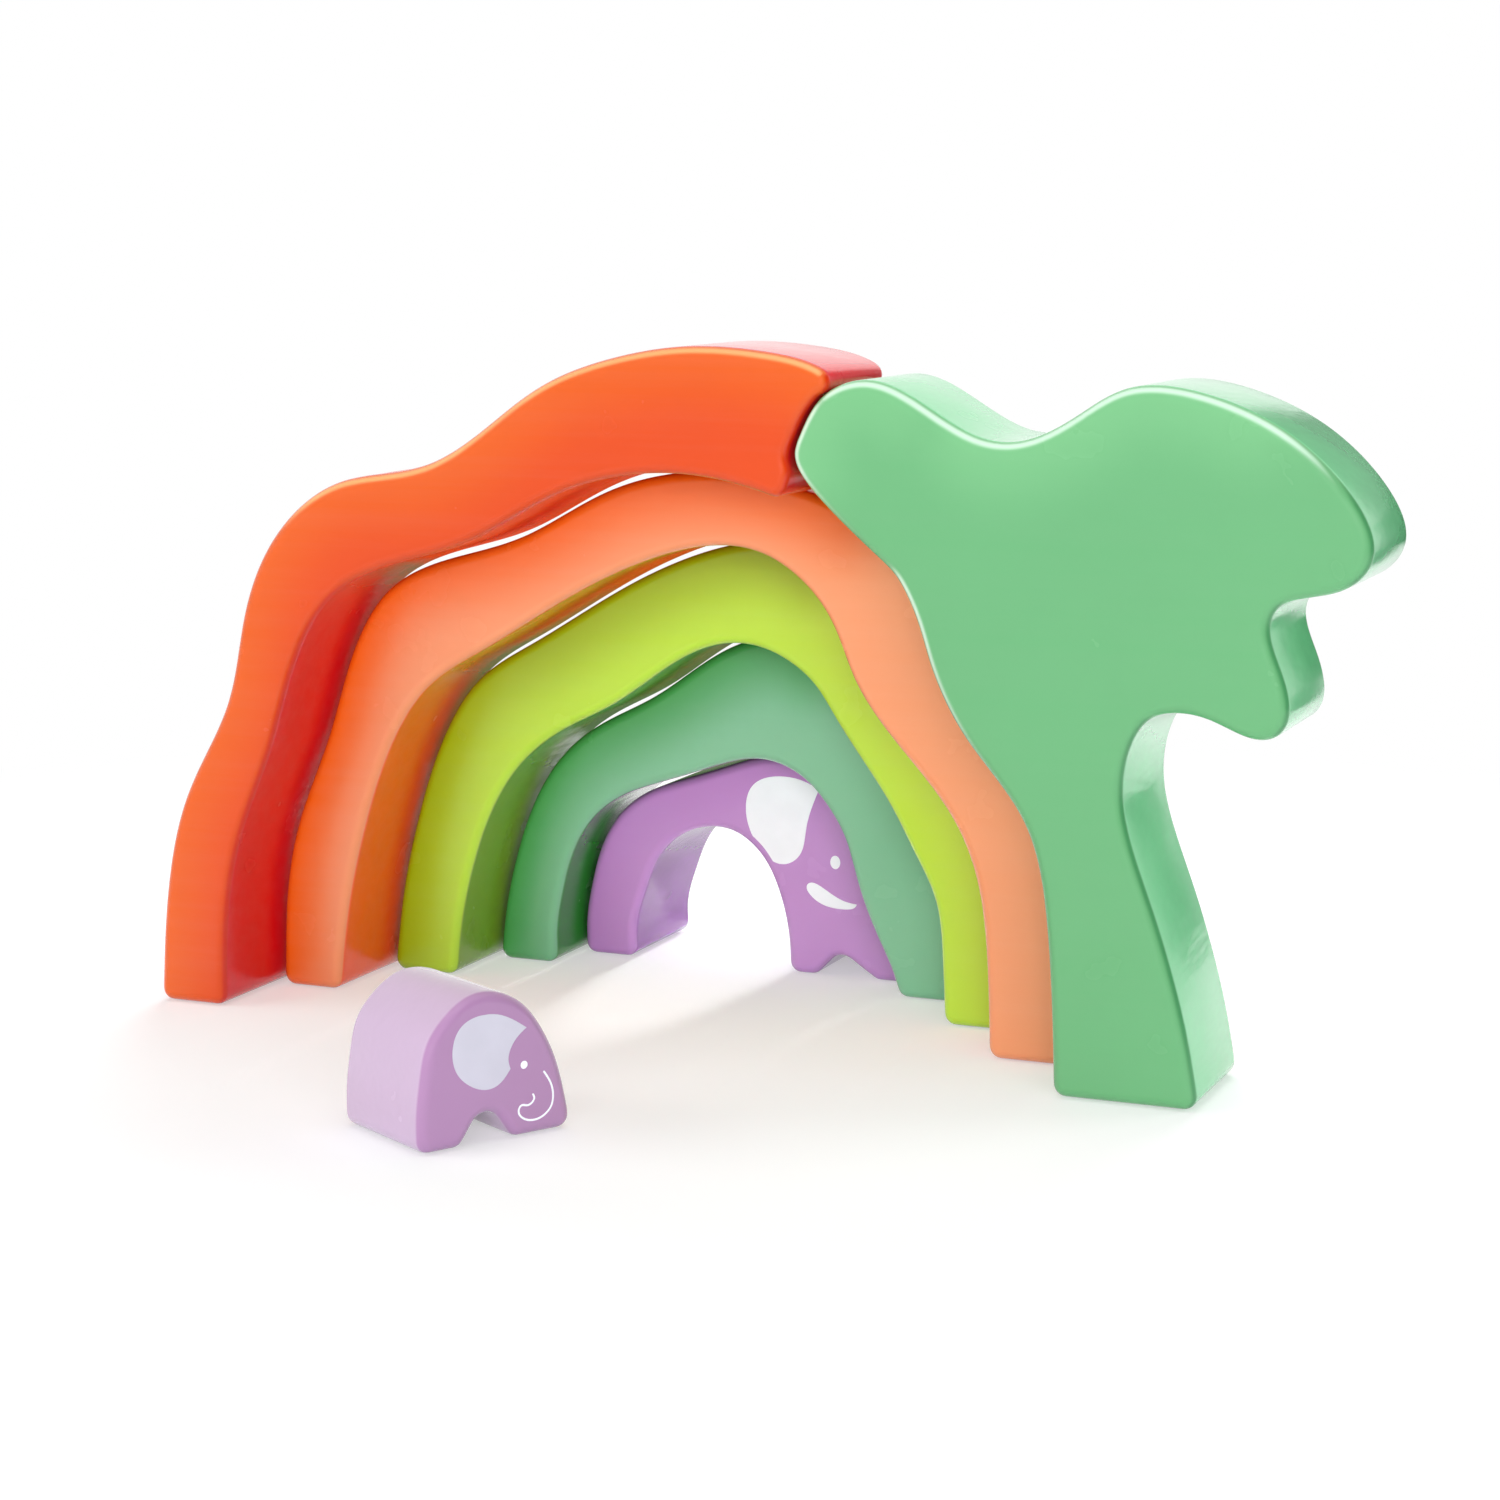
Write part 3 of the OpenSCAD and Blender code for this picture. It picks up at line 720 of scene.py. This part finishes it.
class BLOCKS_OT_mother(bpy.types.Operator):
    """Makes the mother elephant and her printed face"""

    bl_idname = "blocks.mother"
    bl_label = "Mother elephant"

    def execute(self, context):
        paint_block("mother_elephant", "mother", level_run())
        for feature in ("ear", "eye", "tusk"):
            paint_print(f"mother_{feature}_print", "white_print", level_run())
        return {"FINISHED"}


class BLOCKS_OT_baby(bpy.types.Operator):
    """Makes the baby elephant and its printed face"""

    bl_idname = "blocks.baby"
    bl_label = "Baby elephant"

    def execute(self, context):
        paint_block("baby_elephant", "baby", baby_run())
        paint_print("baby_ear_print", "grey_print", baby_run())
        thin = settings()[0].thin_line
        for feature in ("eye", "trunk"):
            paint_print(f"baby_{feature}_print", "white_print", baby_run(), thin)
        return {"FINISHED"}


def flat_sheet(name, corners, material):
    """A flat sheet with four corners."""
    mesh = bpy.data.meshes.new(name)
    mesh.from_pydata(corners, [], [(0, 1, 2, 3)])
    mesh.materials.append(material)
    sheet = bpy.data.objects.new(name, mesh)
    bpy.context.scene.collection.objects.link(sheet)
    return sheet


def middle_of_blocks():
    """The middle of the solids' box."""
    return (CAD_BOX[0] + CAD_BOX[1]) / 2


def white_floor(reach):
    """A white floor that keeps the blocks' soft shadows.

    For the camera and for reflections it glows by itself about half as much as white, and the
    rest of its light is what falls on it, so that a shadow stays a pale grey. Away from the
    blocks it turns into plain white, so that it meets the surround without an edge.
    """
    n = Nodes("studio_floor")
    rays = n.add("ShaderNodeLightPath").outputs
    looks = [(0, rays["Is Camera Ray"]), (1, rays["Is Glossy Ray"])]
    seen = n.add("ShaderNodeMath", looks, operation="MAXIMUM")
    place = n.add("ShaderNodeTexCoord").outputs["Object"]
    away = n.add("ShaderNodeVectorMath", [(0, place)], operation="DISTANCE")
    middle = middle_of_blocks()
    away.inputs[1].default_value = (middle.x, middle.y, 0)
    far = n.ramp(away.outputs["Value"], *FLOOR_FADE)
    plain = n.add("ShaderNodeBsdfDiffuse", Color=FLOOR_BOUNCE)
    half = n.add("ShaderNodeBsdfDiffuse", Color=FLOOR_NEAR)
    glow = n.add("ShaderNodeEmission", Color=(*WHITE, 1), Strength=FLOOR_GLOW)
    white = n.add("ShaderNodeEmission", Color=(*WHITE, 1), Strength=1.0)
    near = n.add("ShaderNodeAddShader", [(0, half.outputs[0]), (1, glow.outputs[0])])
    fades = [(0, far), (1, near.outputs[0]), (2, white.outputs[0])]
    sheet = n.add("ShaderNodeMixShader", fades)
    picks = [(0, seen.outputs[0]), (1, plain.outputs[0]), (2, sheet.outputs[0])]
    material = n.finish(n.add("ShaderNodeMixShader", picks))
    signs = ((-1, -1), (1, -1), (1, 1), (-1, 1))
    corners = [(x * reach, y * reach, FLOOR_LEVEL) for x, y in signs]
    floor = flat_sheet("studio_floor", corners, material)
    return floor


def white_surround(level, mirrored):
    """White for the camera, another level in reflections, and a soft light for the rest."""
    world = bpy.data.worlds.new("studio_surround")
    bpy.context.scene.world = world
    world.use_nodes = True
    tree = world.node_tree
    tree.nodes.clear()
    path = tree.nodes.new("ShaderNodeLightPath")
    total = None
    for ray, value in (("Is Camera Ray", 1.0), ("Is Glossy Ray", mirrored)):
        part = tree.nodes.new("ShaderNodeMath")
        part.operation = "MULTIPLY_ADD"
        tree.links.new(path.outputs[ray], part.inputs[0])
        part.inputs[1].default_value = value - level
        part.inputs[2].default_value = level
        if total is not None:
            tree.links.new(total, part.inputs[2])
        total = part.outputs[0]
    back = tree.nodes.new("ShaderNodeBackground")
    back.inputs["Color"].default_value = (*WHITE, 1)
    tree.links.new(total, back.inputs["Strength"])
    out = tree.nodes.new("ShaderNodeOutputWorld")
    tree.links.new(back.outputs[0], out.inputs["Surface"])


def hung(name, lamp, place, aim):
    """A lamp at a place, turned towards the point aim; reflections don't show it."""
    light = bpy.data.objects.new(name, lamp)
    light.location = place
    light.visible_glossy = False
    light.rotation_euler = (Vector(aim) - Vector(place)).to_track_quat("-Z", "Y").to_euler()
    bpy.context.scene.collection.objects.link(light)
    return light


def soft_light(name, place, size, power):
    """A rectangular soft light at a place, turned towards the blocks."""
    lamp = bpy.data.lights.new(name, "AREA")
    lamp.shape = "RECTANGLE"
    lamp.size, lamp.size_y = size
    lamp.energy = power
    hung(name, lamp, place, middle_of_blocks())


def beam_light(name, spread, power, lit):
    """A beam through the mother's den, with an angle of spread.

    It lights the object lit only, and the other objects throw their shadows there.
    """
    lamp = bpy.data.lights.new(name, "SPOT")
    lamp.spot_size, lamp.spot_blend, lamp.shadow_soft_size = spread, BEAM_BLEND, BEAM_RADIUS
    lamp.energy = power
    light = hung(name, lamp, BEAM_PLACE, BEAM_AIM)
    light.light_linking.receiver_collection = bpy.data.collections.new(f"{name}_lit")
    light.light_linking.receiver_collection.objects.link(lit)


def mirror_card(name, corner, wide, high, level, tint, one_sided):
    """A bright, dark or tinted card beside the blocks, which only shows in their reflections.

    A one-sided card is clear for rays that come from behind.
    """
    n = Nodes(f"{name}_card")
    face = n.add("ShaderNodeEmission", Color=(*tint, 1), Strength=level)
    if one_sided:
        behind = n.add("ShaderNodeNewGeometry").outputs["Backfacing"]
        clear = n.add("ShaderNodeBsdfTransparent")
        sides = [(0, behind), (1, face.outputs[0]), (2, clear.outputs[0])]
        face = n.add("ShaderNodeMixShader", sides)
    a, w, h = (np.array(v) for v in (corner, wide, high))
    corners = np.stack([a, a + w, a + w + h, a + h]).tolist()
    card = flat_sheet(name, corners, n.finish(face))
    card.visible_camera = card.visible_diffuse = card.visible_shadow = False


def studio_camera(stage):
    """The camera of the photograph's view."""
    data = bpy.data.cameras.new("studio_camera")
    data.lens = stage.camera_lens
    data.sensor_width = SENSOR_WIDTH
    camera = bpy.data.objects.new("studio_camera", data)
    camera.matrix_world = (
        Matrix.Translation(stage.camera_place)
        @ Matrix.Rotation(stage.camera_turn, 4, "Z")
        @ Matrix.Rotation(math.pi / 2 - stage.camera_tilt, 4, "X")
        @ Matrix.Rotation(stage.camera_roll, 4, "Z")
    )
    bpy.context.scene.collection.objects.link(camera)
    return camera


class BLOCKS_OT_stage(bpy.types.Operator):
    """Makes the floor, the surround, the lights, the cards and the camera"""

    bl_idname = "blocks.stage"
    bl_label = "Stage"

    def execute(self, context):
        stage = settings()[2]
        floor = white_floor(stage.floor_reach)
        white_surround(stage.sky_level, stage.mirror_level)
        for name, place, size, power in LIGHTS:
            soft_light(name, place, size, getattr(stage, power))
        beam_light("den_light", stage.den_spread, stage.den_power, floor)
        for card in CARDS:
            mirror_card(*card)
        context.scene.camera = studio_camera(stage)
        context.scene.view_settings.view_transform = "Standard"
        return {"FINISHED"}


OPERATORS = (BLOCKS_OT_stage, BLOCKS_OT_tree, BLOCKS_OT_arches, BLOCKS_OT_mother, BLOCKS_OT_baby)


class BLOCKS_PT_panel(bpy.types.Panel):
    """Lists the blocks and the stage"""

    bl_idname = "BLOCKS_PT_panel"
    bl_label = "Stacking Elephant"
    bl_space_type = "VIEW_3D"
    bl_region_type = "UI"
    bl_category = "Blocks"

    def draw(self, context):
        for operator in OPERATORS:
            self.layout.operator(operator.bl_idname)


GROUPS = (
    ("block_sizes", BlockSizes),
    ("block_colours", BlockColours),
    ("block_stage", StageSettings),
)


def register():
    """Registers the settings, the operators and the panel."""
    for name, group in GROUPS:
        bpy.utils.register_class(group)
        setattr(bpy.types.Scene, name, bpy.props.PointerProperty(type=group))
    for kind in (*OPERATORS, BLOCKS_PT_panel):
        bpy.utils.register_class(kind)


def unregister():
    """Takes the panel, the operators and the settings away again."""
    for kind in (BLOCKS_PT_panel, *reversed(OPERATORS)):
        bpy.utils.unregister_class(kind)
    for name, group in reversed(GROUPS):
        delattr(bpy.types.Scene, name)
        bpy.utils.unregister_class(group)


def main():
    """Builds the stage and all blocks."""
    register()
    bpy.ops.blocks.stage()
    bpy.ops.blocks.tree()
    bpy.ops.blocks.arches()
    bpy.ops.blocks.mother()
    bpy.ops.blocks.baby()


if __name__ == "__main__":
    main()
